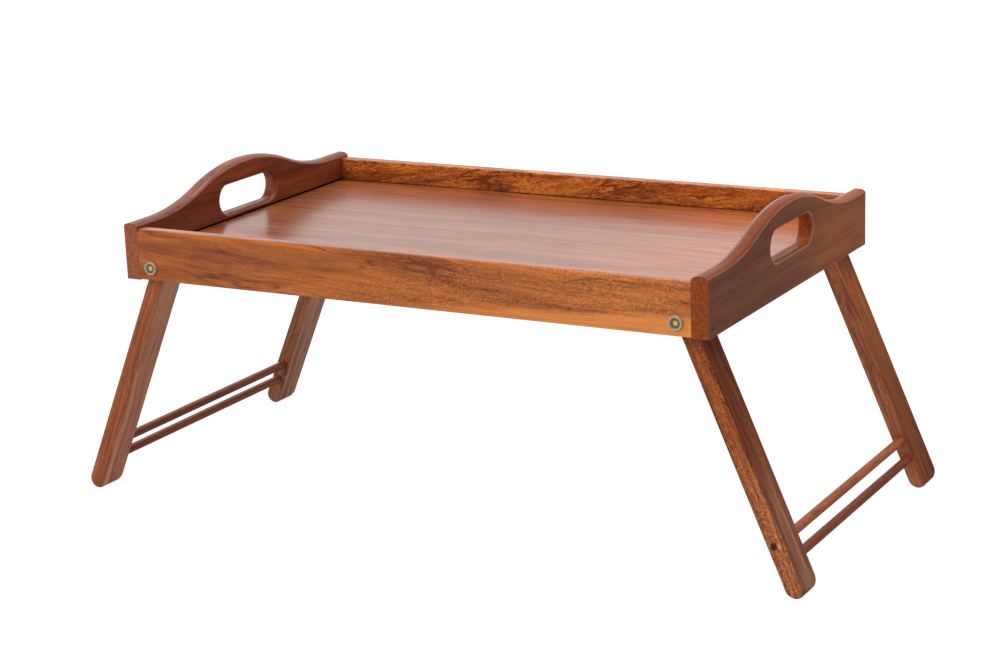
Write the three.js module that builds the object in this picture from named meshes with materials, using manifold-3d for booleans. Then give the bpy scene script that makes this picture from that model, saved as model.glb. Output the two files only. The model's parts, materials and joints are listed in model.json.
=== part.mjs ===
// Folding tray table: a wooden tray on two leg frames that fold flat under it.
// Millimetres, +Z up, +X along the tray, -Y towards the sitter.
// The origin is on the floor, under the middle of the table.
import * as THREE from 'three';
import { mergeVertices } from 'three/addons/utils/BufferGeometryUtils.js';
import Module from 'manifold-3d';

const wasm = await Module();
wasm.setup();

// Driving dimensions of the tray. Heights are above the end boards' lower edge.
const trayLength = 560;
const trayDepth = 346;
const boardThickness = 14.5;
const boardEndHeight = 50.5;
const boardCrestHeight = 77.5;
const crestHalfLength = 142;
const slotLength = 92;
const slotHeight = 27;
const slotCentreHeight = 44;
const stopChamfer = 1.5;
const railThickness = 12;
const railHeight = 45;
const railLift = 0.7;
const panelThickness = 5;
const panelTopHeight = 25;
const grooveDepth = 5;

// Driving dimensions of the leg frames.
const splay = THREE.MathUtils.degToRad(23.4);
const legThickness = 15;
const legWidth = 29.5;
const pivotToFoot = 239.8;
const pivotHeight = 11.8;
const footFlat = 3;
const footCornerRadius = 4;
const stretcherRadius = 4;
const stretcherSocketDepth = 12;
const upperStretcherDrop = 193.5;
const lowerStretcherDrop = 211;

// Fasteners: a flat-headed connector bolt, its cap nut and a washer.
const boltRadius = 3;
const boltHeadRadius = 6.1;
const boltHeadHeight = 2.3;
const boltRimWidth = 1.1;
const boltRimHeight = 0.5;
const boltTipChamfer = 1;
const boltGripInNut = 9;
const nutBarrelRadius = 4;
const nutBarrelLength = 13;
const nutFlangeRadius = 6;
const nutFlangeHeight = 1.8;
const nutChamfer = 0.5;
const nutEndPlay = 1;
const hexKeyRadius = 2.3;
const hexKeyDepth = 1.9;
const washerRadius = 6;
const washerThickness = 0.8;

// Corner dowels. The lower one stops short of the pivot bolt.
const cornerDowelRadius = 3;
const cornerDowelInBoard = 10;
const upperDowelInRail = 18;
const lowerDowelInRail = 7.5;
const upperDowelHeight = 36;
const lowerDowelHeight = 7;

// Clearances.
const glueGap = 0.2;
const pinGap = 0.3;
const grooveGap = 0.3;
const panelShadowGap = 0.5;
const sideGap = 0.2;
const stopGap = 0.25;

const roundSides = 24;
const curveSegments = 12;
const panelCells = { along: 12, across: 8 };
// How far a cutting tool runs past the face it opens.
const overrun = 1;

// Places worked out from the driving dimensions.
const boardInnerX = trayLength / 2 - boardThickness;
const railInnerY = trayDepth / 2 - railThickness;
const railCentreY = trayDepth / 2 - railThickness / 2;
const legOuterY = railInnerY - washerThickness - 2 * sideGap;
const legCentreY = legOuterY - legWidth / 2;
// Both ends of a leg are round. A narrow flat on the foot lies on the floor when the legs are open.
const endRadius = legThickness / 2;
const footTurn = Math.asin(footFlat / 2 / endRadius);
const pivotZ = (pivotToFoot - endRadius) * Math.cos(splay) + endRadius * Math.cos(footTurn);
const boardBottomZ = pivotZ - pivotHeight;
// The open legs bear on the end boards, at the upper edge of the chamfer along their lower inner edge.
const stopOffset = endRadius + stopGap;
const stopDrop = pivotHeight - stopChamfer;
const pivotX = boardInnerX - (stopOffset + stopDrop * Math.sin(splay)) / Math.cos(splay);

const wood = (color) => new THREE.MeshStandardMaterial({ color, roughness: 0.45, metalness: 0 });
const railWood = wood(0xa5622f);
const boardWood = wood(0x7a4029);
const legWood = wood(0x85492a);
const stretcherWood = wood(0x7d422c);
const panelWood = new THREE.MeshStandardMaterial({ color: 0xa5653f, roughness: 0.3, metalness: 0 });
const dowelWood = wood(0xc79a6a);
const brass = new THREE.MeshStandardMaterial({ color: 0x9a8a62, roughness: 0.35, metalness: 1 });
const steel = new THREE.MeshStandardMaterial({ color: 0xa8a8a4, roughness: 0.4, metalness: 1 });

// Geometry to solid and back, so that solids can be cut.
function toSolid(geometry) {
  const bare = geometry.clone();
  bare.deleteAttribute('normal');
  bare.deleteAttribute('uv');
  const merged = mergeVertices(bare, 1e-4);
  const vertProperties = new Float32Array(merged.attributes.position.array);
  const triVerts = new Uint32Array(merged.index.array);
  return new wasm.Manifold(new wasm.Mesh({ numProp: 3, vertProperties, triVerts }));
}

function toGeometry(solid) {
  const { vertProperties, triVerts } = solid.getMesh();
  const geometry = new THREE.BufferGeometry();
  geometry.setAttribute('position', new THREE.BufferAttribute(new Float32Array(vertProperties), 3));
  geometry.setIndex(new THREE.BufferAttribute(new Uint32Array(triVerts), 1));
  geometry.computeVertexNormals();
  return geometry;
}

function cut(body, tools) {
  let solid = toSolid(body);
  for (const tool of tools) {
    solid = solid.subtract(toSolid(tool));
  }
  return toGeometry(solid);
}

// What two bodies share.
function common(body, other) {
  return toGeometry(toSolid(body).intersect(toSolid(other)));
}

// A box from its lowest to its highest corner.
function boxBetween([x0, y0, z0], [x1, y1, z1]) {
  const box = new THREE.BoxGeometry(x1 - x0, y1 - y0, z1 - z0);
  return box.translate((x0 + x1) / 2, (y0 + y1) / 2, (z0 + z1) / 2);
}

// A round bar along X or Y, from one end coordinate to the other.
function barAlongX(radius, from, to, y, z) {
  const bar = new THREE.CylinderGeometry(radius, radius, to - from, roundSides);
  return bar.rotateZ(Math.PI / 2).translate((from + to) / 2, y, z);
}

function barAlongY(radius, from, to, x, z) {
  const bar = new THREE.CylinderGeometry(radius, radius, to - from, roundSides);
  return bar.translate(x, (from + to) / 2, z);
}

// Turns an extruded outline so that it is drawn in Y and Z and its depth runs along X.
const layAlongY = new THREE.Matrix4().makeBasis(
  new THREE.Vector3(0, 1, 0),
  new THREE.Vector3(0, 0, 1),
  new THREE.Vector3(1, 0, 0),
);

// Heights of what the end boards and the rails share.
const grooveFloor = panelTopHeight - panelThickness - grooveGap;
const grooveRoof = panelTopHeight + panelShadowGap;
const cornerDowels = [
  { level: 'upper', height: upperDowelHeight, inRail: upperDowelInRail },
  { level: 'lower', height: lowerDowelHeight, inRail: lowerDowelInRail },
];

// End board, seen from the end: level shoulders, a hollow and a crest of equal arcs between them, and a
// stadium-shaped hand slot.
function endBoardOutline() {
  const half = trayDepth / 2;
  const rise = boardCrestHeight - boardEndHeight;
  const arcRadius = (crestHalfLength ** 2 + rise ** 2) / (4 * rise);
  const turn = 2 * Math.atan(rise / crestHalfLength);
  const hollowZ = boardEndHeight + arcRadius;
  const down = -Math.PI / 2;
  const up = Math.PI / 2;
  const outline = new THREE.Shape();
  outline.moveTo(-half, 0);
  outline.lineTo(half, 0);
  outline.lineTo(half, boardEndHeight);
  outline.absarc(crestHalfLength, hollowZ, arcRadius, down, down - turn, true);
  outline.absarc(0, boardCrestHeight - arcRadius, arcRadius, up - turn, up + turn, false);
  outline.absarc(-crestHalfLength, hollowZ, arcRadius, down + turn, down, true);
  outline.lineTo(-half, boardEndHeight);
  outline.closePath();

  const radius = slotHeight / 2;
  const reach = slotLength / 2 - radius;
  const slot = new THREE.Path();
  slot.absarc(reach, slotCentreHeight, radius, down, up, false);
  slot.absarc(-reach, slotCentreHeight, radius, up, up + Math.PI, false);
  slot.closePath();
  outline.holes.push(slot);
  return outline;
}

// The prism that chamfers the right end board's lower inner edge, between the rails.
function stopChamferTool() {
  const reach = stopChamfer + overrun;
  const outline = new THREE.Shape();
  outline.moveTo(boardInnerX - overrun, -overrun);
  outline.lineTo(boardInnerX + reach, -overrun);
  outline.lineTo(boardInnerX - overrun, reach);
  outline.closePath();
  const prism = new THREE.ExtrudeGeometry(outline, { depth: 2 * railInnerY, bevelEnabled: false });
  return prism.rotateX(Math.PI / 2).translate(0, railInnerY, 0);
}

// The right end board, in the tray's frame with z = 0 at its lower edge.
function endBoard() {
  const board = new THREE.ExtrudeGeometry(endBoardOutline(), {
    depth: boardThickness,
    bevelEnabled: false,
    curveSegments,
  });
  board.applyMatrix4(layAlongY).translate(boardInnerX, 0, 0);

  const grooveEnd = railInnerY + grooveDepth;
  const cuts = [
    boxBetween(
      [boardInnerX - overrun, -grooveEnd, grooveFloor],
      [boardInnerX + grooveDepth, grooveEnd, grooveRoof],
    ),
  ];
  cuts.push(stopChamferTool());
  for (const side of [-1, 1]) {
    for (const { height } of cornerDowels) {
      const deep = boardInnerX + cornerDowelInBoard + pinGap;
      const mouth = boardInnerX - overrun;
      cuts.push(barAlongX(cornerDowelRadius + glueGap, mouth, deep, side * railCentreY, height));
    }
  }
  return cut(board, cuts);
}

// The front rail, in the tray's frame with z = 0 at the end boards' lower edge.
function rail() {
  const end = boardInnerX - glueGap;
  const bar = boxBetween([-end, -trayDepth / 2, railLift], [end, -railInnerY, railLift + railHeight]);
  const cuts = [
    boxBetween(
      [-end - overrun, -railInnerY - grooveDepth, grooveFloor],
      [end + overrun, -railInnerY + overrun, grooveRoof],
    ),
  ];
  for (const side of [-1, 1]) {
    const outside = -trayDepth / 2 - overrun;
    const inside = -railInnerY + overrun;
    cuts.push(barAlongY(boltRadius + pinGap, outside, inside, side * pivotX, pivotHeight));
    for (const { height, inRail } of cornerDowels) {
      const inner = side * (boardInnerX - inRail - pinGap);
      const outer = side * (boardInnerX + overrun);
      const [from, to] = side > 0 ? [inner, outer] : [outer, inner];
      cuts.push(barAlongX(cornerDowelRadius + glueGap, from, to, -railCentreY, height));
    }
  }
  return cut(bar, cuts);
}

// The panel reaches into the grooves on all four sides.
function trayPanel() {
  const halfLength = boardInnerX + grooveDepth - grooveGap;
  const halfDepth = railInnerY + grooveDepth - grooveGap;
  const panel = new THREE.BoxGeometry(
    2 * halfLength,
    2 * halfDepth,
    panelThickness,
    panelCells.along,
    panelCells.across,
    1,
  );
  return panel.translate(0, 0, panelTopHeight - panelThickness / 2);
}

// A leg's strip with the foot's two corners rounded, seen from the side, before its ends are rounded.
function legBlank() {
  const halfWidth = legWidth / 2;
  const cornerY = halfWidth - footCornerRadius;
  const cornerZ = footCornerRadius - pivotToFoot;
  const outline = new THREE.Shape();
  outline.moveTo(halfWidth, endRadius + overrun);
  outline.lineTo(-halfWidth, endRadius + overrun);
  outline.absarc(-cornerY, cornerZ, footCornerRadius, Math.PI, 1.5 * Math.PI, false);
  outline.absarc(cornerY, cornerZ, footCornerRadius, -Math.PI / 2, 0, false);
  outline.closePath();
  const depth = legThickness + 2 * overrun;
  const blank = new THREE.ExtrudeGeometry(outline, { depth, bevelEnabled: false, curveSegments });
  return blank.applyMatrix4(layAlongY).translate(-depth / 2, 0, 0);
}

// A leg hangs from its pivot at the origin. The stretchers enter its inner face, which points to +Y.
// Its foot goes out to +X when lean is 1, and to -X when lean is -1.
function leg(lean) {
  const halfWidth = legWidth / 2;
  const footCentre = endRadius - pivotToFoot;
  const floorward = -Math.PI / 2 - lean * splay;
  const outline = new THREE.Shape();
  outline.moveTo(endRadius, 0);
  outline.absarc(0, 0, endRadius, 0, Math.PI, false);
  outline.lineTo(-endRadius, footCentre);
  outline.absarc(0, footCentre, endRadius, -Math.PI, floorward - footTurn, false);
  outline.absarc(0, footCentre, endRadius, floorward + footTurn, 0, false);
  outline.closePath();
  const depth = legWidth + 2 * overrun;
  const rounded = new THREE.ExtrudeGeometry(outline, { depth, bevelEnabled: false, curveSegments });
  rounded.rotateX(Math.PI / 2).translate(0, depth / 2, 0);
  const post = common(rounded, legBlank());

  const outside = -halfWidth - overrun;
  const inside = halfWidth + overrun;
  const barrelEnd = halfWidth - nutBarrelLength - pinGap;
  const cuts = [
    barAlongY(boltRadius + pinGap, outside, inside, 0, 0),
    barAlongY(nutBarrelRadius + pinGap, barrelEnd, inside, 0, 0),
  ];
  for (const drop of [upperStretcherDrop, lowerStretcherDrop]) {
    const bottom = halfWidth - stretcherSocketDepth;
    cuts.push(barAlongY(stretcherRadius + glueGap, bottom, inside, 0, -drop));
  }
  return cut(post, cuts);
}

// A stretcher reaches into the sockets of both legs.
function stretcher() {
  const halfLength = legCentreY - legWidth / 2 + stretcherSocketDepth - pinGap;
  return new THREE.CylinderGeometry(stretcherRadius, stretcherRadius, 2 * halfLength, roundSides);
}

// A hex socket in the face of a fastener, sunk towards +Y from y = top.
function hexSocket(top, depth) {
  const key = new THREE.CylinderGeometry(hexKeyRadius, hexKeyRadius, depth + overrun, 6);
  return key.translate(0, top + (depth - overrun) / 2, 0);
}

// The front pivot bolt, on its own axis. y = 0 is the rail's outer face, and the head points to -Y.
function pivotBolt() {
  const reach = railThickness + washerThickness + 2 * sideGap + legWidth;
  const tip = reach - nutBarrelLength + boltGripInNut;
  const headTop = -glueGap - boltHeadHeight;
  const dish = headTop + boltRimHeight;
  const profile = [
    [0, dish],
    [boltHeadRadius - boltRimWidth - boltRimHeight, dish],
    [boltHeadRadius - boltRimWidth, headTop],
    [boltHeadRadius - boltRimHeight, headTop],
    [boltHeadRadius, headTop + boltRimHeight],
    [boltHeadRadius, -glueGap],
    [boltRadius, -glueGap],
    [boltRadius, tip - boltTipChamfer],
    [boltRadius - boltTipChamfer, tip],
    [0, tip],
  ].map(([radius, y]) => new THREE.Vector2(radius, y));
  const bolt = new THREE.LatheGeometry(profile, roundSides);
  return cut(bolt, [hexSocket(dish, hexKeyDepth)]);
}

// The cap nut of a front leg, on its own axis. y = 0 is the leg's inner face, and the flange is on +Y.
function capNut() {
  const flangeTop = glueGap + nutFlangeHeight;
  const holeEnd = boltGripInNut - nutBarrelLength + nutEndPlay;
  const profile = [
    [0, flangeTop],
    [nutFlangeRadius - nutChamfer, flangeTop],
    [nutFlangeRadius, flangeTop - nutChamfer],
    [nutFlangeRadius, glueGap],
    [nutBarrelRadius, glueGap],
    [nutBarrelRadius, -nutBarrelLength],
    [boltRadius + pinGap, -nutBarrelLength],
    [boltRadius + pinGap, holeEnd],
    [0, holeEnd],
  ].map(([radius, y]) => new THREE.Vector2(radius, y));
  const nut = new THREE.LatheGeometry(profile.reverse(), roundSides);
  return cut(nut, [hexSocket(flangeTop - hexKeyDepth, hexKeyDepth)]);
}

// A washer on its own axis, centred on y = 0.
function washer() {
  const half = washerThickness / 2;
  const inner = boltRadius + pinGap;
  const profile = [
    [inner, -half],
    [washerRadius, -half],
    [washerRadius, half],
    [inner, half],
    [inner, -half],
  ].map(([radius, y]) => new THREE.Vector2(radius, y));
  return new THREE.LatheGeometry(profile, roundSides);
}

function cornerDowel(inRail) {
  return barAlongX(cornerDowelRadius, boardInnerX - inRail, boardInnerX + cornerDowelInBoard, 0, 0);
}

function named(name, geometry, material) {
  const mesh = new THREE.Mesh(geometry, material);
  mesh.name = name;
  return mesh;
}

// What is made for the right or the front also serves the left or the back after half a turn about Z.
const halfTurn = (turned) => (turned ? Math.PI : 0);

const table = new THREE.Group();

const tray = new THREE.Group();
tray.position.z = boardBottomZ;
table.add(tray);

const endBoardGeometry = endBoard();
for (const side of ['right', 'left']) {
  const board = named(`end_board_${side}`, endBoardGeometry, boardWood);
  board.rotation.z = halfTurn(side === 'left');
  tray.add(board);
}

const railGeometry = rail();
for (const face of ['front', 'back']) {
  const bar = named(`${face}_rail`, railGeometry, railWood);
  bar.rotation.z = halfTurn(face === 'back');
  tray.add(bar);
}

tray.add(named('tray_panel', trayPanel(), panelWood));

for (const { level, height, inRail } of cornerDowels) {
  const geometry = cornerDowel(inRail);
  for (const side of ['right', 'left']) {
    for (const [face, toSitter] of [['front', -1], ['back', 1]]) {
      const dowel = named(`corner_dowel_${face}_${side}_${level}`, geometry, dowelWood);
      dowel.rotation.z = halfTurn(side === 'left');
      dowel.position.set(0, toSitter * railCentreY, height);
      tray.add(dowel);
    }
  }
}

// Pivot hardware: the bolt, washer and cap nut at each corner are coaxial.
const boltGeometry = pivotBolt();
const nutGeometry = capNut();
const washerGeometry = washer();
for (const [side, x] of [['right', pivotX], ['left', -pivotX]]) {
  for (const [face, toSitter] of [['front', -1], ['back', 1]]) {
    const corner = `${face}_${side}`;
    const pieces = [
      [named(`pivot_bolt_${corner}`, boltGeometry, brass), trayDepth / 2],
      [named(`pivot_washer_${corner}`, washerGeometry, steel), railInnerY - sideGap - washerThickness / 2],
      [named(`pivot_nut_${corner}`, nutGeometry, brass), legOuterY - legWidth],
    ];
    for (const [piece, y] of pieces) {
      piece.position.set(x, toSitter * y, pivotHeight);
      piece.rotation.z = halfTurn(face === 'back');
      tray.add(piece);
    }
  }
}

// Leg frames: each hangs from its pivot axis and leans outward by the splay.
const legLeaning = { '1': leg(1), '-1': leg(-1) };
const stretcherGeometry = stretcher();
for (const [side, outward] of [['right', 1], ['left', -1]]) {
  const frame = new THREE.Group();
  frame.position.set(outward * pivotX, 0, pivotZ);
  frame.rotation.y = -outward * splay;
  table.add(frame);
  for (const [face, toSitter] of [['front', -1], ['back', 1]]) {
    const lean = -toSitter * outward;
    const post = named(`leg_${face}_${side}`, legLeaning[lean], legWood);
    post.position.y = toSitter * legCentreY;
    post.rotation.z = halfTurn(face === 'back');
    frame.add(post);
  }
  for (const [level, drop] of [['upper', upperStretcherDrop], ['lower', lowerStretcherDrop]]) {
    const bar = named(`stretcher_${side}_${level}`, stretcherGeometry, stretcherWood);
    bar.position.z = -drop;
    frame.add(bar);
  }
}

export default table;
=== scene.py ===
# Folding tray table: the looks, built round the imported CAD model. Metres, in the row frame.
import json
import math

import bmesh
import bpy
from mathutils import Matrix, Vector


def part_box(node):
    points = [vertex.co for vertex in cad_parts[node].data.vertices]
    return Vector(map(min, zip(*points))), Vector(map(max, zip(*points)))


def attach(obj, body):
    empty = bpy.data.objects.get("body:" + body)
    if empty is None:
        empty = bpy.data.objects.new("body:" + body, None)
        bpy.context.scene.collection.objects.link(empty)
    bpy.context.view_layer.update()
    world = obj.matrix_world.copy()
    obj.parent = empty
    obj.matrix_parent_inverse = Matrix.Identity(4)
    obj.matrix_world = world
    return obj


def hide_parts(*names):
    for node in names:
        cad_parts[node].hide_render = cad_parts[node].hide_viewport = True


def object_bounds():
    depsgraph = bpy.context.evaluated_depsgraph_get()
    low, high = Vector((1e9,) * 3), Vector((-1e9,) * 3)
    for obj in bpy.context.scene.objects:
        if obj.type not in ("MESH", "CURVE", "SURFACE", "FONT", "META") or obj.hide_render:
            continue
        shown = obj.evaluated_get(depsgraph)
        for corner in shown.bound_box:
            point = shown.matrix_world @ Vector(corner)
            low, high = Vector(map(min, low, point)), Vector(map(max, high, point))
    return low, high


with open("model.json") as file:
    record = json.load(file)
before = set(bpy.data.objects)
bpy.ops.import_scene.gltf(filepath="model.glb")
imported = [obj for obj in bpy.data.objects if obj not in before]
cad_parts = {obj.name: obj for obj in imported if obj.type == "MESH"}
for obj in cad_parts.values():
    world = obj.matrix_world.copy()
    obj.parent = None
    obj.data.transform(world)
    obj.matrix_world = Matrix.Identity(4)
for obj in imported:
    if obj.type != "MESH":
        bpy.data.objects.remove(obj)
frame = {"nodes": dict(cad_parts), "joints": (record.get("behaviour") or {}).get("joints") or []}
cad_low, cad_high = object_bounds()

# Sizes that the CAD model also has.
CREST_HALF_LENGTH = 0.142
SHOULDER_HEIGHT = 0.0505
SLOT_CENTRE_HEIGHT = 0.044
GROOVE_DEPTH = 0.005
LEG_THICKNESS = 0.015
PIVOT_TO_FOOT = 0.2398
FOOT_FLAT = 0.003
FOOT_CORNER_RADIUS = 0.004
STOP_CHAMFER = 0.0015
SPLAY = math.radians(23.4)
UPPER_STRETCHER_DROP = 0.1935
LOWER_STRETCHER_DROP = 0.211
STRETCHER_RADIUS = 0.004

# The hand slot inside its rounded rim, which is a little smaller than the CAD model's.
SLOT_LENGTH = 0.0905
SLOT_HEIGHT = 0.0262

# Edges and gaps that only the looks have.
TOP_ARC_RADIUS = 0.0077
TOP_ARC_ACROSS = 0.0056
TOP_INNER_ACROSS = 0.0063
TOP_INNER_DROP = 0.0039
TOP_CORNER_EASE = 0.0004
BOARD_END_ROUND = 0.0013
BOARD_EASE = 0.0005
SLOT_ROUND = 0.004
CHAMFER_RUN_OUT = 0.0003
PANEL_GAP = 0.0018
RAIL_PANEL_GAP = PANEL_GAP * 0.3
PANEL_CLEARANCE = 0.0002
PANEL_EASE = 0.0004
NUT_CLEARANCE = 0.0002
RAIL_CLEARANCE = 0.0001
STRETCHER_EASE = 0.0006
LEG_ROUND = 0.0007
RAIL_OUTER_ROUNDS = {"front": 0.005, "back": 0.0014}
RAIL_INNER_ROUND = 0.0012
RAIL_LOWER_ROUND = 0.0008
SHARP_ANGLE = math.radians(32)

# How finely curves are divided.
CREST_STEPS = 96
SLOT_STEPS = 24
LEG_STEPS = 28
STRETCHER_SIDES = 48
TURNED_SIDES = 72

WORLD_X = Vector((1, 0, 0))
WORLD_Y = Vector((0, 1, 0))
WORLD_Z = Vector((0, 0, 1))


# ---------------------------------------------------------------------------------------------
# Meshes
# ---------------------------------------------------------------------------------------------

def add_rows(body, loops):
    """Joins neighbouring loops, which have the same number of points, with faces."""
    rows = [[body.verts.new(point) for point in loop] for loop in loops]
    for row, next_row in zip(rows, rows[1:]):
        for i in range(len(row)):
            j = (i + 1) % len(row)
            body.faces.new((row[i], row[j], next_row[j], next_row[i]))
    return rows


def fill_flat(body, normal, *rows):
    """Fills the flat area inside the first row of vertices and outside the others."""
    edges = []
    for row in rows:
        edges += [body.edges.get((row[i - 1], row[i])) for i in range(len(row))]
    bmesh.ops.triangle_fill(body, use_beauty=True, use_dissolve=False, edges=edges, normal=normal)


def loft(loops):
    """A closed body through loops with the same number of points, capped at both ends."""
    body = bmesh.new()
    rows = add_rows(body, loops)
    body.faces.new(rows[0])
    body.faces.new(rows[-1])
    bmesh.ops.recalc_face_normals(body, faces=body.faces)
    return body


def place(x_axis, z_axis, origin):
    """The matrix of a piece whose local X and Z point along these row axes."""
    y_axis = z_axis.cross(x_axis)
    matrix = Matrix((x_axis, y_axis, z_axis)).transposed().to_4x4()
    matrix.translation = origin
    return matrix


def make_object(name, body, matrix):
    mesh = bpy.data.meshes.new(name)
    body.to_mesh(mesh)
    body.free()
    obj = bpy.data.objects.new(name, mesh)
    bpy.context.scene.collection.objects.link(obj)
    obj.matrix_world = matrix
    return obj


def bake_modifiers(obj):
    bpy.context.view_layer.update()
    depsgraph = bpy.context.evaluated_depsgraph_get()
    shaped = bpy.data.meshes.new_from_object(obj.evaluated_get(depsgraph))
    plain = obj.data
    obj.modifiers.clear()
    obj.data = shaped
    bpy.data.meshes.remove(plain)
    shaped.name = obj.name


def ease_edges(obj, width):
    """Rounds every sharp edge of the object."""
    bevel = obj.modifiers.new("ease", "BEVEL")
    bevel.width = width
    bevel.segments = 2
    bevel.limit_method = "ANGLE"
    bevel.angle_limit = math.radians(40)
    bevel.use_clamp_overlap = True
    bake_modifiers(obj)


def finish_piece(obj, material, body, slot, *nodes):
    """Shades the piece, gives it its material, and lets it stand for its CAD nodes."""
    mesh = obj.data
    mesh.materials.append(material)
    mesh.shade_smooth()
    mesh.set_sharp_from_angle(angle=SHARP_ANGLE)
    weighted = obj.modifiers.new("even_normals", "WEIGHTED_NORMAL")
    weighted.keep_sharp = True
    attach(obj, body)
    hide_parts(*nodes)


def arc(radius, start, end, steps):
    """Points on an arc about the origin, as (along, up) pairs, with both ends."""
    angles = [start + (end - start) * i / steps for i in range(steps + 1)]
    return [(radius * math.cos(a), radius * math.sin(a)) for a in angles]


def crest_curve(x, crest_height):
    """Height and slope angle of the end boards' top edge: two hollows and a crest of equal arcs."""
    rise = crest_height - SHOULDER_HEIGHT
    radius = (CREST_HALF_LENGTH ** 2 + rise ** 2) / (4 * rise)
    out = abs(x)
    if out >= CREST_HALF_LENGTH:
        return SHOULDER_HEIGHT, 0.0
    if out <= CREST_HALF_LENGTH / 2:
        turn = math.asin(out / radius)
        height = crest_height - radius * (1 - math.cos(turn))
    else:
        turn = math.asin((CREST_HALF_LENGTH - out) / radius)
        height = SHOULDER_HEIGHT + radius * (1 - math.cos(turn))
    return height, -math.copysign(turn, x)


def cut_back(depth, radius):
    """How far a rounded edge is cut back at this depth from the face beside it."""
    short = max(radius - depth, 0)
    return radius - math.sqrt(radius ** 2 - short ** 2)


def top_drop(y, thickness):
    """How far the top of an end board is below its ridge, at y from its outer face."""
    if y < TOP_ARC_ACROSS:
        eased = max(TOP_CORNER_EASE - y, 0) ** 2 / TOP_CORNER_EASE
        return TOP_ARC_RADIUS - math.sqrt(TOP_ARC_RADIUS ** 2 - (TOP_ARC_ACROSS - y) ** 2) + eased
    across = max(y - thickness + TOP_INNER_ACROSS, 0) / TOP_INNER_ACROSS
    return TOP_INNER_DROP * (1 - math.sqrt(max(1 - across ** 2, 0)))


def board_outline(y, length, thickness, crest_height, chamfer_end):
    """The end board's outline at y from its outer face, as a loop. The lower inner edge has a chamfer
    between x = -chamfer_end and x = chamfer_end."""
    end_x = length / 2 - cut_back(y, BOARD_END_ROUND) - cut_back(thickness - y, BOARD_EASE)
    drop = top_drop(y, thickness)
    lift = cut_back(y, BOARD_EASE) + cut_back(thickness - y, BOARD_EASE)
    chamfer = max(lift, y - thickness + STOP_CHAMFER)
    corner = arc(BOARD_EASE, 0, math.pi / 2, 3)

    right = [(end_x - BOARD_EASE + c, SHOULDER_HEIGHT - drop - BOARD_EASE + up) for c, up in corner]
    top = []
    for i in range(CREST_STEPS + 1):
        x = CREST_HALF_LENGTH * (1 - 2 * i / CREST_STEPS)
        height, slope = crest_curve(x, crest_height)
        top.append((x + drop * math.sin(slope), height - drop * math.cos(slope)))
    left = [(-x, z) for x, z in reversed(right)]
    foot = [(-end_x + BOARD_EASE - c, lift + BOARD_EASE - up) for c, up in corner]
    foot += [(-chamfer_end - CHAMFER_RUN_OUT, lift), (-chamfer_end, chamfer)]
    foot += [(-x, z) for x, z in reversed(foot)]
    return [(x, y, z) for x, z in right + top + left + foot]


def slot_outline(y, out):
    """The hand slot's outline at y from the board's outer face, widened by out, as a loop."""
    radius = SLOT_HEIGHT / 2
    reach = SLOT_LENGTH / 2 - radius
    loop = []
    for side, turn in ((1, -math.pi / 2), (-1, math.pi / 2)):
        for along, up in arc(radius + out, turn, turn + math.pi, SLOT_STEPS):
            loop.append((side * reach + along, y, SLOT_CENTRE_HEIGHT + up))
    return loop


def board_body(length, thickness, crest_height, chamfer_end, groove_low, groove_high):
    """An end board along X. Its outer face is at y = 0, and its lower edge at z = 0. The panel's groove,
    between the (x, z) corners groove_low and groove_high, is in its inner face."""
    depths = [BOARD_END_ROUND * (1 - math.cos(math.pi / 2 * i / 5)) for i in range(6)]
    depths += [TOP_ARC_ACROSS * i / 6 for i in range(2, 7)]
    inner_start = thickness - TOP_INNER_ACROSS
    depths += [inner_start + TOP_INNER_ACROSS * math.sin(math.pi / 2 * i / 10) for i in range(11)]
    body = bmesh.new()
    loops = [board_outline(y, length, thickness, crest_height, chamfer_end) for y in depths]
    outside = add_rows(body, loops)

    start = math.radians(12)
    mouth = []
    for i in range(9):
        turn = start + (math.pi / 2 - start) * i / 8
        mouth.append((SLOT_ROUND * (math.cos(start) - math.cos(turn)), SLOT_ROUND * (1 - math.sin(turn))))
    loops = [slot_outline(y, out) for y, out in mouth]
    loops += [slot_outline(thickness - y, out) for y, out in reversed(mouth)]
    wall = add_rows(body, loops)

    (x0, z0), (x1, z1) = groove_low, groove_high
    corners = [(x0, z0), (x1, z0), (x1, z1), (x0, z1)]
    loops = [[(x, y, z) for x, z in corners] for y in (thickness, thickness - GROOVE_DEPTH)]
    groove = add_rows(body, loops)
    body.faces.new(groove[1])

    fill_flat(body, (0, -1, 0), outside[0], wall[0])
    fill_flat(body, (0, 1, 0), outside[-1], wall[-1], groove[0])
    bmesh.ops.recalc_face_normals(body, faces=body.faces)
    return body


def box_body(low, high):
    (x0, y0, z0), (x1, y1, z1) = low, high
    loop = [(y0, z0), (y1, z0), (y1, z1), (y0, z1)]
    return loft([[(x, y, z) for y, z in loop] for x in (x0, x1)])


def rail_body(length, depth, height, outer_round, groove_floor, groove_roof):
    """A rail along X. Its outer face is at y = 0, and its inner one, which has the panel's groove, is at
    y = depth."""
    loop = []
    for y, z, radius, start in (
        (RAIL_LOWER_ROUND, RAIL_LOWER_ROUND, RAIL_LOWER_ROUND, -math.pi / 2),
        (outer_round, height - outer_round, outer_round, -math.pi),
        (depth - RAIL_INNER_ROUND, height - RAIL_INNER_ROUND, RAIL_INNER_ROUND, math.pi / 2),
    ):
        corner = arc(radius, start, start - math.pi / 2, 8)
        loop += [(y + along, z + up) for along, up in corner]
    loop += [
        (depth, groove_roof),
        (depth - GROOVE_DEPTH, groove_roof),
        (depth - GROOVE_DEPTH, groove_floor),
        (depth, groove_floor),
    ]
    corner = arc(RAIL_LOWER_ROUND, 0, -math.pi / 2, 5)
    loop += [(depth - RAIL_LOWER_ROUND + along, RAIL_LOWER_ROUND + up) for along, up in corner]
    return loft([[(x, y, z) for y, z in loop] for x in (-length / 2, length / 2)])


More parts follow.
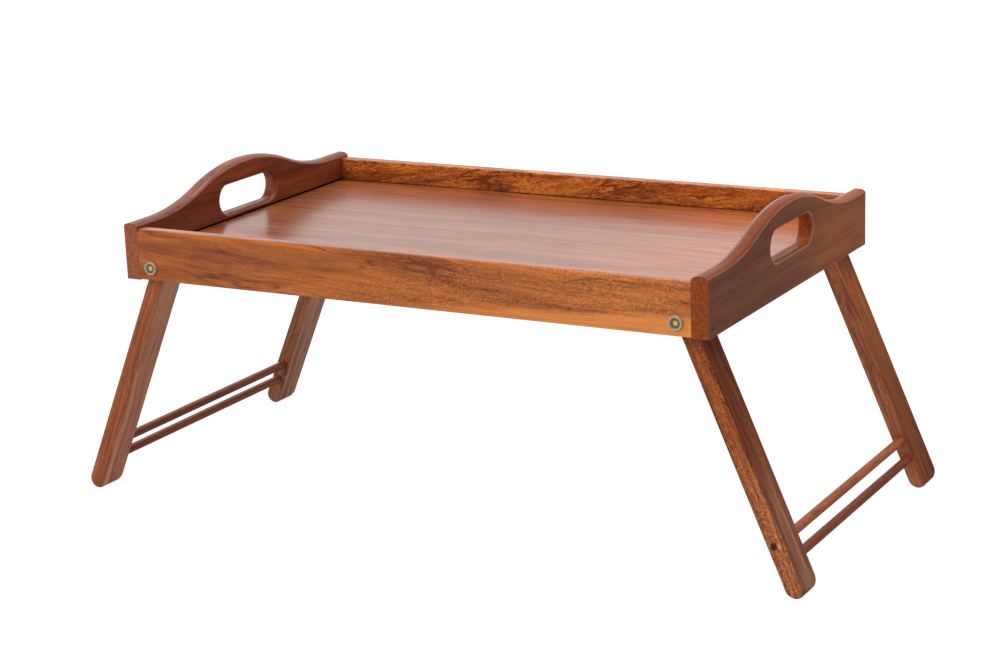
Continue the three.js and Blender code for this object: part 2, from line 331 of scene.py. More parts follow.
def leg_body(width, lean):
    """A leg along X from its pivot at the origin. It is width wide along Z, and round at both ends."""
    radius = LEG_THICKNESS / 2
    foot_x = PIVOT_TO_FOOT - radius
    floorward = Vector((math.cos(SPLAY), lean * math.sin(SPLAY)))
    flat_depth = math.sqrt(radius ** 2 - (FOOT_FLAT / 2) ** 2)
    corner_start = width / 2 - FOOT_CORNER_RADIUS
    levels = []
    for along, up in arc(LEG_ROUND, 0, math.pi / 2, 4):
        levels.append((LEG_ROUND - up, width / 2 - LEG_ROUND + along))
    last = math.asin(1 - LEG_ROUND / FOOT_CORNER_RADIUS)
    levels += [(0, corner_start + out) for _, out in arc(FOOT_CORNER_RADIUS, last, 0, 6)[1:]]
    levels += [(inset, -z) for inset, z in reversed(levels)]
    loops = []
    for inset, z in levels:
        out = min(max(abs(z) - corner_start, 0), FOOT_CORNER_RADIUS)
        shorter = FOOT_CORNER_RADIUS - math.sqrt(FOOT_CORNER_RADIUS ** 2 - out ** 2)
        loop = []
        for x, start in ((foot_x - shorter, -math.pi / 2), (0, math.pi / 2)):
            for along, across in arc(radius - inset, start, start + math.pi, LEG_STEPS):
                point = Vector((along, across))
                too_deep = point.dot(floorward) - (flat_depth + shorter * floorward.x - inset)
                if x and too_deep > 0:
                    point -= floorward * too_deep
                loop.append((x + point.x, point.y, z))
        loops.append(loop)
    return loft(loops)


def round_bar_body(radius, length):
    """A dowel along X with eased ends."""
    ends = [(length / 2, radius - STRETCHER_EASE), (length / 2 - STRETCHER_EASE, radius)]
    levels = [(-x, r) for x, r in ends] + [(x, r) for x, r in reversed(ends)]
    steps = STRETCHER_SIDES - 1
    last = math.tau * steps / STRETCHER_SIDES
    return loft([[(x, a, b) for a, b in arc(r, 0, last, steps)] for x, r in levels])


def turned_body(profile):
    """A body turned about Z. A profile row is (radius, height, is_hexagon), where a hexagon's radius is
    the distance to its flats."""
    loops = []
    for radius, height, is_hexagon in profile:
        loop = []
        for i in range(TURNED_SIDES):
            turn = math.tau * i / TURNED_SIDES
            reach = radius
            if is_hexagon:
                reach = radius / math.cos((turn + math.pi / 6) % (math.pi / 3) - math.pi / 6)
            loop.append((reach * math.cos(turn), reach * math.sin(turn), height))
        loops.append(loop)
    return loft(loops)


# ---------------------------------------------------------------------------------------------
# Materials
# ---------------------------------------------------------------------------------------------

WHITE = (1, 1, 1, 1)
# Painted highlight colour for the arrises of the wood.
ARRIS_HIGHLIGHT_COLOUR = (0.78, 0.42, 0.28, 1)


class Shader:
    """Builds one procedural material. Its methods return output sockets, except add, put and bump."""

    def __init__(self, name):
        self.material = bpy.data.materials.new(name)
        self.material.use_nodes = True
        self.tree = self.material.node_tree
        self.surface = self.tree.nodes["Principled BSDF"]
        self.places = self.tree.nodes.new("ShaderNodeTexCoord")

    def add(self, kind, inputs=(), **settings):
        node = self.tree.nodes.new(kind)
        for key, value in settings.items():
            setattr(node, key, value)
        for key, value in dict(inputs).items():
            self.put(node.inputs[key], value)
        return node

    def put(self, socket, value):
        if isinstance(value, bpy.types.NodeSocket):
            self.tree.links.new(value, socket)
        else:
            socket.default_value = value

    def vector(self, operation, a, b):
        node = self.add("ShaderNodeVectorMath", {0: a, 1: b}, operation=operation)
        return node.outputs["Value" if operation in ("LENGTH", "DOT_PRODUCT") else "Vector"]

    def scale(self, vector, x, y, z):
        return self.vector("MULTIPLY", vector, Vector((x, y, z)))

    def length(self, vector):
        return self.vector("LENGTH", vector, Vector((0, 0, 0)))

    def number(self, operation, *values, clamp=False):
        inputs = dict(enumerate(values))
        return self.add("ShaderNodeMath", inputs, operation=operation, use_clamp=clamp).outputs[0]

    def noise(self, vector, detail=3, roughness=0.55, output="Fac"):
        inputs = {"Vector": vector, "Scale": 1.0, "Detail": detail, "Roughness": roughness}
        return self.add("ShaderNodeTexNoise", inputs).outputs[output]

    def split(self, vector):
        return self.add("ShaderNodeSeparateXYZ", {0: vector}).outputs

    def step(self, value, low, high, to_low=0.0, to_high=1.0):
        """Smoothly from to_low to to_high as value goes from low to high."""
        inputs = {0: value, 1: low, 2: high, 3: to_low, 4: to_high}
        return self.add("ShaderNodeMapRange", inputs, interpolation_type="SMOOTHSTEP").outputs[0]

    def mix(self, amount, a, b, blend="MIX"):
        node = self.add("ShaderNodeMix", {0: amount, 6: a, 7: b}, data_type="RGBA", blend_type=blend)
        return node.outputs[2]

    def tint(self, colour, by):
        return self.mix(1.0, colour, by, "MULTIPLY")

    def ramp(self, value, stops):
        node = self.add("ShaderNodeValToRGB", {0: value})
        elements = node.color_ramp.elements
        while len(elements) < len(stops):
            elements.new(0.5)
        for element, (position, colour) in zip(elements, stops):
            element.position = position
            element.color = (*colour, 1)
        return node.outputs[0]

    def bump(self, height, distance, strength=1.0):
        inputs = {"Height": height, "Distance": distance, "Strength": strength}
        self.put(self.surface.inputs["Normal"], self.add("ShaderNodeBump", inputs).outputs[0])


def shades(colour, contrast=1.0):
    """Four tones of a wood, dark to light. The dark ones are more purple, the light ones more golden."""
    tones = []
    for step in (0.42, 0.8, 1.12, 1.7):
        red, green, blue = (c * step ** (contrast * power) for c, power in zip(colour, (0.9, 1.15, 1.0)))
        tones.append((red, green, blue))
    return tones


def wood(
    name,
    colour,
    seed,
    contrast=1.0,
    tilt=0.0,
    streaks=0.5,
    lines=0.25,
    flecks=0.3,
    calm_until=None,
    fleck_scale=(130, 1050),
    curl=(1900, 0.0006),
    veins=0.35,
    painted_side_light=None,
    arris_highlight=0.0,
    rim_gloss=None,
    gloss=0.5,
    coat_roughness=0.2,
    roughness=(0.36, 0.5),
    end_colour=None,
    detail=None,
):
    """Lacquered wood whose grain runs along the piece's own X. detail may change the colour: it gets the
    shader, the place on the piece, and the colour so far."""
    tones = shades(colour, contrast)
    s = Shader(name)
    place_here = s.places.outputs["Object"]
    shifted = s.vector("ADD", place_here, Vector((seed * 1.37, seed * 0.61, seed * 0.83)))
    turned = s.add("ShaderNodeMapping", {"Vector": shifted, "Rotation": (0, -tilt, tilt)}).outputs[0]

    # The grain wanders slowly from side to side.
    drift = s.noise(s.scale(turned, 6, 24, 24), detail=2, output="Color")
    drift = s.vector("SUBTRACT", drift, Vector((0.5, 0.5, 0.5)))
    drift = s.scale(drift, 0, 0.02, 0.02)
    grain = s.vector("ADD", turned, drift)

    def layer(along, across, amount, detail=2, roughness=0.55):
        fine = s.noise(s.scale(grain, along, across, across), detail, roughness)
        centred = s.number("SUBTRACT", fine, 0.5)
        return s.number("MULTIPLY", centred, amount)

    # Curly figure: thin lines across which the grain waves to and fro, stronger in some patches.
    along = s.split(grain)[0]
    phase = s.noise(s.scale(turned, 40, 90, 90), detail=1)
    curl_rate, curl_reach = curl
    phase = s.number("MULTIPLY_ADD", phase, 14, s.number("MULTIPLY", along, curl_rate))
    wave = s.number("MULTIPLY", s.number("SINE", phase), curl_reach)
    curly = s.add("ShaderNodeCombineXYZ", {0: 0.0, 1: wave, 2: wave}).outputs[0]
    curly = s.vector("ADD", grain, curly)
    patches = s.noise(s.scale(shifted, 11, 50, 50), detail=2)
    patches = s.step(patches, 0.36, 0.6, 0.3, 1.0)
    if calm_until is not None:
        calm = s.step(s.split(place_here)[0], calm_until - 0.2, calm_until, 0.3, 1.0)
        patches = s.number("MULTIPLY", patches, calm)
    normal = s.split(s.places.outputs["Normal"])
    sideways = s.number("ABSOLUTE", normal[1])
    sides = s.step(sideways, 0.5, 0.85)
    if painted_side_light:
        patches = s.number("MULTIPLY", patches, s.number("MULTIPLY_ADD", sides, -0.75, 1.0))
    fleck_along, fleck_across = fleck_scale
    ripple = s.scale(curly, fleck_along, fleck_across, fleck_across)
    ripple = s.noise(ripple, detail=2, roughness=0.6)
    ripple = s.number("MULTIPLY", s.number("SUBTRACT", s.step(ripple, 0.36, 0.64), 0.5), patches)

    tone = s.number("ADD", layer(2.2, 75, 2.2 * streaks, 3, 0.6), 0.5)
    finer_layers = ((5, 300, 1.6 * lines), (9, 750, 1.5 * lines), (35, 1500, 0.4))
    for along_scale, across_scale, amount in finer_layers:
        tone = s.number("ADD", layer(along_scale, across_scale, amount, 3, 0.6), tone)
    tone = s.number("MULTIPLY_ADD", ripple, flecks, tone)

    # A few thin dark veins where a slow noise crosses its middle.
    vein = s.number("ABSOLUTE", layer(2.6, 55, 1.0, 2))
    vein = s.step(vein, 0.0, 0.022, 1.0, 0.0)
    broken = s.noise(s.scale(grain, 14, 60, 60), detail=1)
    vein = s.number("MULTIPLY", vein, s.step(broken, 0.42, 0.6))
    tone = s.number("MULTIPLY_ADD", vein, -veins, tone)
    colour = s.ramp(tone, list(zip((0.08, 0.38, 0.62, 0.95), tones)))

    pores = s.noise(s.scale(grain, 110, 2600, 2600), detail=1)
    pits = s.step(pores, 0.6, 0.72)
    colour = s.mix(s.number("MULTIPLY", pits, 0.4), colour, (*tones[0], 1))
    # Painted light: the side faces take their own tint, which paints them darker or lighter than the front
    # faces and adds a pale bluish sheen.
    if painted_side_light:
        colour = s.tint(colour, s.mix(sides, WHITE, (*painted_side_light, 1)))
    if detail:
        colour = detail(s, place_here, colour)

    # Painted highlight: a pale colour along the arrises beside the wide faces, broken up by noise.
    if arris_highlight:
        arris = s.number("MULTIPLY", s.step(sideways, 0.62, 0.74), s.step(sideways, 0.9, 0.97, 1.0, 0.0))
        highlight_breakup = s.noise(s.scale(place_here, 60, 200, 200), detail=2)
        arris = s.number("MULTIPLY", arris, s.step(highlight_breakup, 0.3, 0.6, 0.5, 1.0))
        colour = s.mix(s.number("MULTIPLY", arris, arris_highlight), colour, ARRIS_HIGHLIGHT_COLOUR)

    # End grain takes the lacquer differently, and is speckled.
    ends = s.step(s.number("ABSOLUTE", normal[0]), 0.6, 0.95)
    speckle = s.noise(s.scale(place_here, 500, 500, 500), detail=3, roughness=0.7)
    end_tones = shades(end_colour or tones[1], 0.7)
    colour = s.mix(ends, colour, s.ramp(speckle, list(zip((0.3, 0.45, 0.55, 0.72), end_tones))))

    s.put(s.surface.inputs["Base Color"], colour)
    s.put(s.surface.inputs["Roughness"], s.step(patches, 0.3, 1.0, *roughness))
    s.surface.inputs["Specular IOR Level"].default_value = 0.3 * min(gloss * 2, 1)
    s.surface.inputs["Coat Weight"].default_value = gloss
    if rim_gloss:
        # The lacquer lies thick on the inner side of the rounded top.
        rim = s.number("MULTIPLY", s.step(normal[1], 0.06, 0.2), s.step(normal[2], 0.2, 0.5))
        coat = s.number("MULTIPLY_ADD", rim, rim_gloss - gloss, gloss)
        s.put(s.surface.inputs["Coat Weight"], coat)
    s.surface.inputs["Coat Roughness"].default_value = coat_roughness
    relief = s.number("MULTIPLY_ADD", pits, -0.6, layer(35, 1500, 0.6))
    s.bump(relief, 0.00012, 0.5)
    return s.material


def metal(name, bright, dull, roughness, tarnish_radii=None, heart=None):
    """Turned metal with fine scratches. Tarnish gathers between the two radii about the piece's own Z, and
    inside the smaller one the metal is painted the heart colour, a painted golden glint."""
    s = Shader(name)
    here = s.places.outputs["Object"]
    spots = s.noise(s.scale(here, 420, 420, 420), detail=4, roughness=0.65)
    scratches = s.noise(s.scale(here, 900, 4200, 900), detail=2)
    amount = s.step(spots, 0.4, 0.7)
    if tarnish_radii:
        low, high = tarnish_radii
        radius = s.length(s.scale(here, 1, 1, 0))
        inside = s.step(radius, high * 0.94, high * 1.04, 0.85, 0.0)
        amount = s.number("MAXIMUM", s.number("MULTIPLY", amount, 0.35), inside)
        core = s.step(radius, low * 0.8, low)
        amount = s.number("MULTIPLY", amount, core)
    colour = s.mix(amount, (*bright, 1), (*dull, 1))
    # Painted highlight: the middle of the socket takes a bright golden glint colour.
    if heart:
        colour = s.mix(core, (*heart, 1), colour)
    s.put(s.surface.inputs["Base Color"], colour)
    s.surface.inputs["Metallic"].default_value = 0.5
    s.put(s.surface.inputs["Roughness"], s.step(scratches, 0.3, 0.7, *roughness))
    s.bump(scratches, 0.00003, 0.4)
    return s.material


# ---------------------------------------------------------------------------------------------
# Woods, and what is special about single pieces
# ---------------------------------------------------------------------------------------------

SAPWOOD = (0.90, 0.30, 0.056)
SAPWOOD_DARK = (0.72, 0.21, 0.035)
SAPWOOD_LIGHT = (0.98, 0.37, 0.08)
KNOT_CENTRE = Vector((0.1938, 0.0017, -0.01475))
KNOT_TO_GLOW = Vector((0.0006, -0.0042, 0))
KNOT_HALO = (0.42, 0.13, 0.035, 1)
KNOT_GLOW = (0.72, 0.32, 0.11, 1)
KNOT_HEART = (0.03, 0.014, 0.012, 1)
# Painted shadow colour for the panel inside the end boards' grooves.
PAINTED_GROOVE_SHADOW = (0.006, 0.003, 0.002, 1)


def front_rail_detail(s, here, colour):
    """Sapwood along the lower right of the front rail, and a lighter right end."""
    x, _, z = s.split(here)
    wander = s.noise(s.scale(here, 9, 30, 120), detail=3)
    edge = s.number("MULTIPLY_ADD", x, 0.05, 0.004)
    edge = s.number("MULTIPLY_ADD", s.number("SUBTRACT", wander, 0.5), 0.012, edge)
    amount = s.step(s.number("SUBTRACT", edge, z), -0.003, 0.004)
    amount = s.number("MULTIPLY", amount, s.step(x, -0.08, 0.18))
    colour = s.tint(colour, s.mix(s.step(x, 0.02, 0.2), WHITE, (1.15, 1.22, 1.45, 1)))
    streaks = s.noise(s.scale(here, 12, 400, 600), detail=3)
    sapwood = s.ramp(streaks, ((0.3, SAPWOOD_DARK), (0.5, SAPWOOD), (0.7, SAPWOOD_LIGHT)))
    return s.mix(s.number("MULTIPLY", amount, 0.66), colour, sapwood)


def tint_along(start, end, low, high):
    """A detail that tints the wood by low up to local x = start, and by high from x = end on."""

    def tint(s, here, colour):
        amount = s.step(s.split(here)[0], start, end)
        return s.tint(colour, s.mix(amount, (*low, 1), (*high, 1)))

    return tint


def knot_detail(s, here, colour):
    """A small knot near one edge of the leg's front face, with a light streak beside it. The leg is paler
    toward the foot, and low on its side faces it takes a painted lighter, bluer sheen."""
    colour = tint_along(0.06, 0.2, (1, 1, 1), (1.42, 1.85, 3.0))(s, here, colour)
    # Painted light: the side faces turn lighter and bluer low down, where they come out of the tray's
    # shade.
    sides = s.step(s.number("ABSOLUTE", s.split(s.places.outputs["Normal"])[1]), 0.5, 0.85)
    lower_side_sheen = s.number("MULTIPLY", sides, s.step(s.split(here)[0], 0.1, 0.19))
    colour = s.tint(colour, s.mix(lower_side_sheen, WHITE, (1.07, 1.53, 2.2, 1)))
    offset = s.vector("SUBTRACT", here, KNOT_CENTRE)
    swirl = s.noise(s.scale(here, 420, 520, 520), detail=3, roughness=0.7)
    swirl = s.number("SUBTRACT", swirl, 0.5)
    reach = s.length(s.scale(offset, 0.8, 1, 1))
    beside = s.vector("SUBTRACT", offset, KNOT_TO_GLOW)
    beside = s.length(s.scale(beside, 0.7, 1, 1))
    halo = s.step(s.number("MULTIPLY_ADD", swirl, 0.003, reach), 0.0068, 0.003)
    glow = s.step(s.number("MULTIPLY_ADD", swirl, 0.003, beside), 0.0026, 0.0008)
    heart = s.step(s.number("MULTIPLY_ADD", swirl, 0.006, reach), 0.0034, 0.0022)
    colour = s.mix(s.number("MULTIPLY", halo, 0.35), colour, KNOT_HALO)
    colour = s.mix(s.number("MULTIPLY", glow, 0.9), colour, KNOT_GLOW)
    return s.mix(s.number("MULTIPLY", heart, 0.92), colour, KNOT_HEART)


def panel_detail(s, here, colour):
    """Lighter toward the right, a painted sheen, and a painted shadow, nearly black, where the panel goes
    into the grooves of the end boards.
    """
    # Painted sheen: the panel turns lighter and pinker toward the right.
    colour = tint_along(0.02, 0.22, (1, 1, 1), (1.42, 1.36, 1.1))(s, here, colour)
    groove_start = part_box("end_board_right")[0].x
    from_middle = s.number("ABSOLUTE", s.split(here)[0])
    # Painted shadow inside the grooves.
    joint = s.step(from_middle, groove_start - 0.0006, groove_start, 0.0, 0.96)
    return s.mix(joint, colour, PAINTED_GROOVE_SHADOW)


rail_front_wood = wood(
    "rail_wood_front", (0.40, 0.10, 0.014), 1.0, contrast=1.15, tilt=0.07, streaks=0.5, lines=0.35,
    flecks=0.62, fleck_scale=(170, 1100), curl=(1700, 0.0009), calm_until=0.06, veins=0.35, gloss=1.0,
    detail=front_rail_detail,
)
rail_back_wood = wood(
    "rail_wood_back", (0.45, 0.112, 0.02), 5.2, contrast=1.2, tilt=0.16, streaks=0.9, lines=0.55,
    flecks=0.6, fleck_scale=(120, 800), curl=(900, 0.0005), veins=0.6,
)
board_woods = {
    # The right board's side tint and arris colour are painted light: shade, sheen and highlight.
    "right": wood(
        "board_wood_right", (0.24, 0.055, 0.012), 3.1, contrast=0.65, lines=0.4, flecks=0.15, veins=0.2,
        painted_side_light=(0.9, 1.22, 2.3), arris_highlight=0.28, gloss=0.15, rim_gloss=1.0,
        end_colour=(0.27, 0.057, 0.012), detail=tint_along(-0.03, 0.1, (0.92, 0.9, 1), (1.45, 1.35, 1)),
    ),
    "left": wood(
        "board_wood_left", (0.23, 0.044, 0.011), 4.9, contrast=1.0, streaks=0.65, lines=0.5, flecks=0.35,
        arris_highlight=0.2, end_colour=(0.31, 0.085, 0.035),
    ),
}
panel_wood = wood(
    "panel_veneer", (0.33, 0.09, 0.026), 6.3, contrast=0.9, lines=0.6, flecks=0.12, veins=0.3,
    gloss=1.0, roughness=(0.4, 0.5), detail=panel_detail,
)
dowel_wood = wood("dowel_wood", (0.5, 0.3, 0.15), 8.2, contrast=0.5, streaks=0.3, gloss=0.0)
# Each leg's side tint is painted light on its side faces.
leg_looks = {
    "front_right": {
        "colour": (0.26, 0.062, 0.014),
        "contrast": 1.1,
        "flecks": 0.8,
        "veins": 0.2,
        "painted_side_light": (0.72, 0.62, 0.65),
        "detail": knot_detail,
    },
    "back_right": {
        "colour": (0.476, 0.150, 0.057),
        "contrast": 0.7,
        "flecks": 0.5,
        "veins": 0.6,
        "painted_side_light": (0.64, 0.52, 0.3),
        "detail": tint_along(0.06, 0.18, (1.12, 1.15, 1.2), (0.8, 0.82, 0.92)),
    },
    "front_left": {
        "colour": (0.315, 0.09, 0.035),
        "contrast": 0.75,
        "flecks": 0.5,
        "veins": 0.2,
        "painted_side_light": (1.57, 2.3, 3.4),
    },
    "back_left": {
        "colour": (0.22, 0.08, 0.038),
        "contrast": 0.8,
        "flecks": 0.5,
        "veins": 0.3,
        "painted_side_light": (1.54, 1.8, 2.4),
    },
}
rung_looks = {
    "right_upper": {"colour": (0.37, 0.10, 0.033), "gloss": 0.2},
    "right_lower": {"colour": (0.25, 0.055, 0.02), "gloss": 0.2},
    "left_upper": {"colour": (0.26, 0.06, 0.02)},
    "left_lower": {"colour": (0.26, 0.06, 0.02)},
}
bolt_metal = metal(
    "bolt_brass", (0.78, 0.66, 0.44), (0.15, 0.10, 0.035), (0.2, 0.36), tarnish_radii=(0.0023, 0.0043),
    # The heart colour is a painted glint in the socket.
    heart=(1.0, 0.76, 0.32),
)
washer_metal = metal("washer_steel", (0.62, 0.61, 0.58), (0.4, 0.39, 0.37), (0.3, 0.45))

for name, node in frame["nodes"].items():
    node.data.materials.clear()
    if name.startswith("corner_dowel"):
        node.data.materials.append(dowel_wood)


# ---------------------------------------------------------------------------------------------
# The tray
# ---------------------------------------------------------------------------------------------

panel_low, panel_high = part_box("tray_panel")
panel_centre = (panel_low + panel_high) / 2
inner_half_depth = -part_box("front_rail")[1].y
inner_half_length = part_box("end_board_right")[0].x
groove_end = inner_half_depth + GROOVE_DEPTH

for side, outward in (("right", 1), ("left", -1)):
    node = f"end_board_{side}"
    low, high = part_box(node)
    outer_x = high.x if outward > 0 else low.x
    matrix = place(WORLD_Y * outward, WORLD_Z, Vector((outer_x, 0, low.z)))
    body = board_body(
        high.y - low.y,
        high.x - low.x,
        high.z - low.z,
        inner_half_depth,
        (-groove_end, panel_low.z - low.z - PANEL_CLEARANCE),
        (groove_end, panel_high.z - low.z + PANEL_GAP),
    )
    board = make_object(f"board_{side}", body, matrix)
    finish_piece(board, board_woods[side], "tray", "board_wood", node)

for face, toward, material in (("front", -1, rail_front_wood), ("back", 1, rail_back_wood)):
    node = f"{face}_rail"
    low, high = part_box(node)
    body = rail_body(
        2 * inner_half_length - RAIL_CLEARANCE,
        high.y - low.y,
        high.z - low.z,
        RAIL_OUTER_ROUNDS[face],
        panel_low.z - low.z - PANEL_CLEARANCE,
        panel_high.z - low.z + RAIL_PANEL_GAP,
    )
    outer_y = low.y if toward < 0 else high.y
    matrix = place(WORLD_X * -toward, WORLD_Z, Vector((0, outer_y, low.z)))
    rail = make_object(f"rail_{face}", body, matrix)
    finish_piece(rail, material, "tray", "rail_wood", node)

panel_body = box_body(panel_low - panel_centre, panel_high - panel_centre)
panel = make_object("panel", panel_body, Matrix.Translation(panel_centre))
ease_edges(panel, PANEL_EASE)
finish_piece(panel, panel_wood, "tray", "panel_veneer", "tray_panel")


# ---------------------------------------------------------------------------------------------
# The leg frames and their pivots
# ---------------------------------------------------------------------------------------------

BOLT_PROFILE = [
    (0.00195, 0.0010, True),
    (0.00205, 0.0015, True),
    (0.00235, 0.0017, True),
    (0.0030, 0.0018, False),
    (0.0040, 0.0018, False),
    (0.0044, 0.0019, False),
    (0.0047, 0.0023, False),
    (0.0050, 0.00247, False),
    (0.0053, 0.0025, False),
    (0.0057, 0.0024, False),
    (0.0060, 0.0020, False),
    (0.0061, 0.0015, False),
    (0.0061, 0.0, False),
    (0.0030, 0.0, False),
    (0.0030, -0.012, False),
]
NUT_PROFILE = [
    (0.0021, 0.0003, True),
    (0.0022, 0.0014, True),
    (0.0025, 0.0017, True),
    (0.0034, 0.0019, False),
    (0.0048, 0.0019, False),
    (0.0055, 0.0017, False),
    (0.0059, 0.0013, False),
    (0.0060, 0.0008, False),
    (0.0060, 0.0, False),
    (0.0040, 0.0, False),
    (0.0040, -0.012, False),
]
WASHER_PROFILE = [
    (0.0045, 0, False),
    (0.0060, 0, False),
    (0.0060, 0.0008, False),
    (0.0045, 0.0008, False),
]

pivots = {joint["child"]: Vector(joint["pos_m"]) for joint in frame["joints"]}
seed = 10.0
for side, outward in (("right", 1), ("left", -1)):
    body_name = f"{side}_leg_frame"
    pivot = pivots[body_name]
    down_leg = Vector((outward * math.sin(SPLAY), 0, -math.cos(SPLAY)))
    for face, toward in (("front", -1), ("back", 1)):
        corner = f"{face}_{side}"
        node = f"leg_{corner}"
        low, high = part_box(node)
        outer_y = low.y if toward < 0 else high.y
        inner_y = high.y if toward < 0 else low.y
        seed += 1.0
        # Local -Z is the leg's outer face, and local X runs down the leg.
        z_axis = Vector((0, -toward, 0))
        origin = Vector((pivot.x, (low.y + high.y) / 2, pivot.z))
        matrix = place(down_leg, z_axis, origin)
        across = z_axis.cross(down_leg)
        lean = 1 if across.z < 0 else -1
        material = wood(
            f"leg_wood_{corner}", seed=seed, streaks=0.6, lines=0.75, fleck_scale=(170, 1200),
            curl=(1700, 0.0004), gloss=0.2, **leg_looks[corner],
        )
        leg = make_object(f"post_{corner}", leg_body(high.y - low.y, lean), matrix)
        finish_piece(leg, material, body_name, "leg_wood", node)

        # The bolt's head is on the rail, and the cap nut on the leg's inner face.
        outward_y = Vector((0, toward, 0))
        rail_low, rail_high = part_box(f"{face}_rail")
        rail_y = rail_low.y if toward < 0 else rail_high.y
        bolt = make_object(
            f"bolt_{corner}",
            turned_body(BOLT_PROFILE),
            place(WORLD_X, outward_y, Vector((pivot.x, rail_y, pivot.z))),
        )
        finish_piece(bolt, bolt_metal, "tray", "bolt_brass", f"pivot_bolt_{corner}")
        nut = make_object(
            f"nut_{corner}",
            turned_body(NUT_PROFILE),
            place(WORLD_X, -outward_y, Vector((pivot.x, inner_y - toward * NUT_CLEARANCE, pivot.z))),
        )
        finish_piece(nut, bolt_metal, "tray", "bolt_brass", f"pivot_nut_{corner}")
        washer_low, washer_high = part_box(f"pivot_washer_{corner}")
        washer_y = washer_high.y if toward < 0 else washer_low.y
        washer = make_object(
            f"washer_{corner}",
            turned_body(WASHER_PROFILE),
            place(WORLD_X, outward_y, Vector((pivot.x, washer_y, pivot.z))),
        )
        finish_piece(washer, washer_metal, "tray", "washer_steel", f"pivot_washer_{corner}")

    for level, drop in (("upper", UPPER_STRETCHER_DROP), ("lower", LOWER_STRETCHER_DROP)):
        node = f"stretcher_{side}_{level}"
        low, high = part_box(node)
        seed += 1.0
        material = wood(
            f"stretcher_wood_{side}_{level}", seed=seed, streaks=0.4, lines=0.3,
            **rung_looks[f"{side}_{level}"],
        )
        rung = make_object(
            f"rung_{side}_{level}",
            round_bar_body(STRETCHER_RADIUS, high.y - low.y),
            place(WORLD_Y, WORLD_Z, pivot + down_leg * drop),
        )
        finish_piece(rung, material, body_name, "stretcher_wood", node)


# ---------------------------------------------------------------------------------------------
# Floor, light and camera
# ---------------------------------------------------------------------------------------------

FLOOR_RADIUS = 14
FLOOR_DARK = (0.15, 0.15, 0.15)
FLOOR_LIGHT = (0.17, 0.17, 0.17)
FLOOR_SOFT_GLOW = 0.6
FLOOR_MIRRORED_GLOW = 0.9
FLOOR_CAMERA_GLOW = 0.93
FLOOR_BACKWARD = Vector((-0.5, 0.87, 0))
SKY_BACKWARD = (-0.45, 0.82, 0.35)
# The camera stands here, with its height measured from the end boards' lower edge.
CAMERA_X = 0.998965
CAMERA_Y = -1.780362
CAMERA_RISE = 0.491061
CAMERA_LENS = 84.8998
YAW = math.radians(29.33416)
PITCH = math.radians(15.27884)
ROLL = math.radians(-2.10962)

floor_shader = Shader("studio_floor")
floor_places = floor_shader.places.outputs["Object"]
grey = floor_shader.noise(floor_shader.scale(floor_places, 3, 3, 3), detail=2)
floor_colour = floor_shader.ramp(grey, ((0.3, FLOOR_DARK), (0.7, FLOOR_LIGHT)))
floor_shader.put(floor_shader.surface.inputs["Base Color"], floor_colour)
floor_shader.surface.inputs["Roughness"].default_value = 0.9
floor_shader.surface.inputs["Specular IOR Level"].default_value = 0.0
floor_shader.surface.inputs["Emission Color"].default_value = WHITE
# The floor is white to the camera and lights the object softly. Mirrored, it glows only far behind.
rays = floor_shader.add("ShaderNodeLightPath").outputs
glow = floor_shader.number("MULTIPLY", rays["Is Diffuse Ray"], FLOOR_SOFT_GLOW)
far_back = floor_shader.vector("DOT_PRODUCT", floor_places, FLOOR_BACKWARD)
far_glow = floor_shader.step(far_back, 1.5, 3.5, 0.0, FLOOR_MIRRORED_GLOW)
glow = floor_shader.number("MULTIPLY_ADD", rays["Is Glossy Ray"], far_glow, glow)
glow = floor_shader.number("MULTIPLY_ADD", rays["Is Camera Ray"], FLOOR_CAMERA_GLOW, glow)
floor_shader.put(floor_shader.surface.inputs["Emission Strength"], glow)
floor_body = bmesh.new()
bmesh.ops.create_circle(floor_body, cap_ends=True, segments=96, radius=FLOOR_RADIUS)
floor = make_object("studio_floor", floor_body, Matrix.Translation((0, 0, cad_low.z)))
floor.data.materials.append(floor_shader.material)

scene = bpy.context.scene
world = bpy.data.worlds.new("studio")
scene.world = world
world.use_nodes = True
sky = world.node_tree
sky.nodes.clear()
direction = sky.nodes.new("ShaderNodeTexCoord").outputs["Generated"]
toward_back = sky.nodes.new("ShaderNodeVectorMath")
toward_back.operation = "DOT_PRODUCT"
toward_back.inputs[1].default_value = SKY_BACKWARD
sky.links.new(direction, toward_back.inputs[0])


def sky_fade(start, end, dark, bright):
    """From dark to bright toward the back left."""
    fade = sky.nodes.new("ShaderNodeMapRange")
    fade.interpolation_type = "SMOOTHSTEP"
    for socket, value in zip(fade.inputs[1:5], (start, end, dark, bright)):
        socket.default_value = value
    sky.links.new(toward_back.outputs["Value"], fade.inputs["Value"])
    return fade.outputs[0]


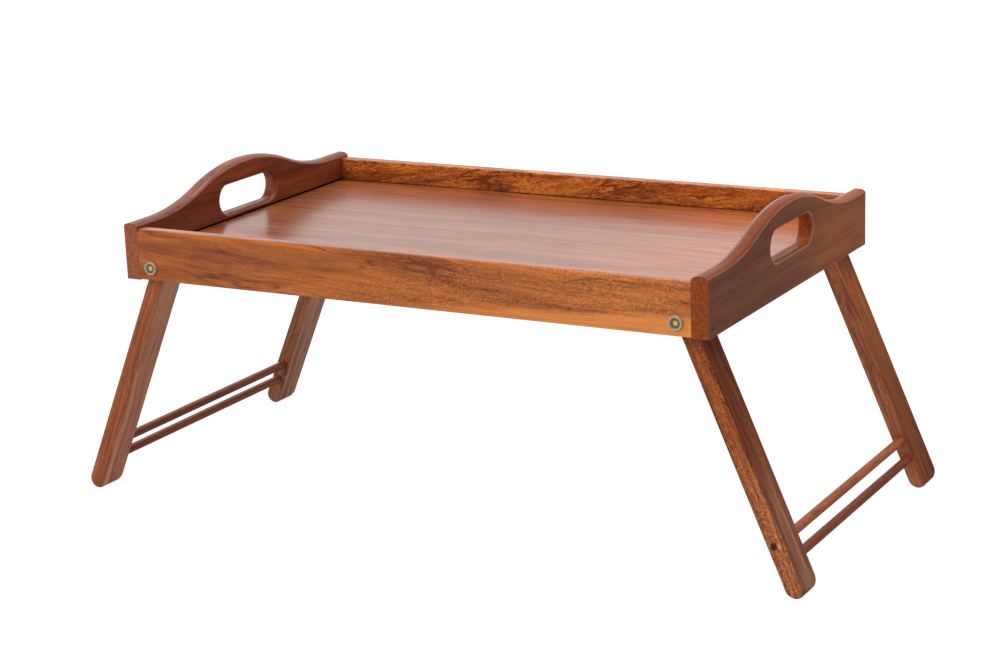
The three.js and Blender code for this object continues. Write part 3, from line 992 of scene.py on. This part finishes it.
def sky_number(operation, a, b):
    node = sky.nodes.new("ShaderNodeMath")
    node.operation = operation
    sky.links.new(a, node.inputs[0])
    sky.links.new(b, node.inputs[1])
    return node.outputs[0]


# What the lacquer mirrors is narrower and dimmer than what lights the object.
seen = sky.nodes.new("ShaderNodeLightPath").outputs
soft = sky_number("MULTIPLY", seen["Is Diffuse Ray"], sky_fade(-0.5, 0.45, 0.28, 1.0))
mirrored = sky_number("MULTIPLY", seen["Is Glossy Ray"], sky_fade(0.62, 0.93, 0.06, 0.82))
strength = sky_number("MAXIMUM", sky_number("MAXIMUM", soft, mirrored), seen["Is Camera Ray"])
backdrop = sky.nodes.new("ShaderNodeBackground")
backdrop.inputs["Color"].default_value = WHITE
sky.links.new(strength, backdrop.inputs["Strength"])
sky_output = sky.nodes.new("ShaderNodeOutputWorld")
sky.links.new(backdrop.outputs[0], sky_output.inputs["Surface"])


def softbox(name, position, target, size, power, mirrored):
    light = bpy.data.lights.new(name, "AREA")
    light.shape = "RECTANGLE"
    light.size, light.size_y = size
    light.energy = power
    lamp = bpy.data.objects.new(name, light)
    scene.collection.objects.link(lamp)
    lamp.visible_glossy = mirrored
    lamp.location = position
    lamp.rotation_euler = (Vector(target) - Vector(position)).to_track_quat("-Z", "Y").to_euler()


centre = (cad_low + cad_high) / 2
softbox("key_light", (-1.1, -2.6, 1.9), centre, size=(2.4, 1.8), power=58, mirrored=False)
softbox("top_light", (0.1, 0.4, 2.6), centre, size=(2.0, 1.4), power=30, mirrored=True)

scene.view_settings.view_transform = "Standard"
scene.view_settings.look = "None"

camera_data = bpy.data.cameras.new("camera")
camera_data.lens = CAMERA_LENS
camera_data.sensor_width = 36
camera_data.clip_start = 0.05
camera_data.clip_end = 60
camera = bpy.data.objects.new("camera", camera_data)
scene.collection.objects.link(camera)
camera_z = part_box("end_board_right")[0].z + CAMERA_RISE
turn = Matrix.Rotation(YAW, 4, "Z") @ Matrix.Rotation(math.pi / 2 - PITCH, 4, "X")
camera.matrix_world = (
    Matrix.Translation((CAMERA_X, CAMERA_Y, camera_z))
    @ turn
    @ Matrix.Rotation(ROLL, 4, "Z")
)
scene.camera = camera
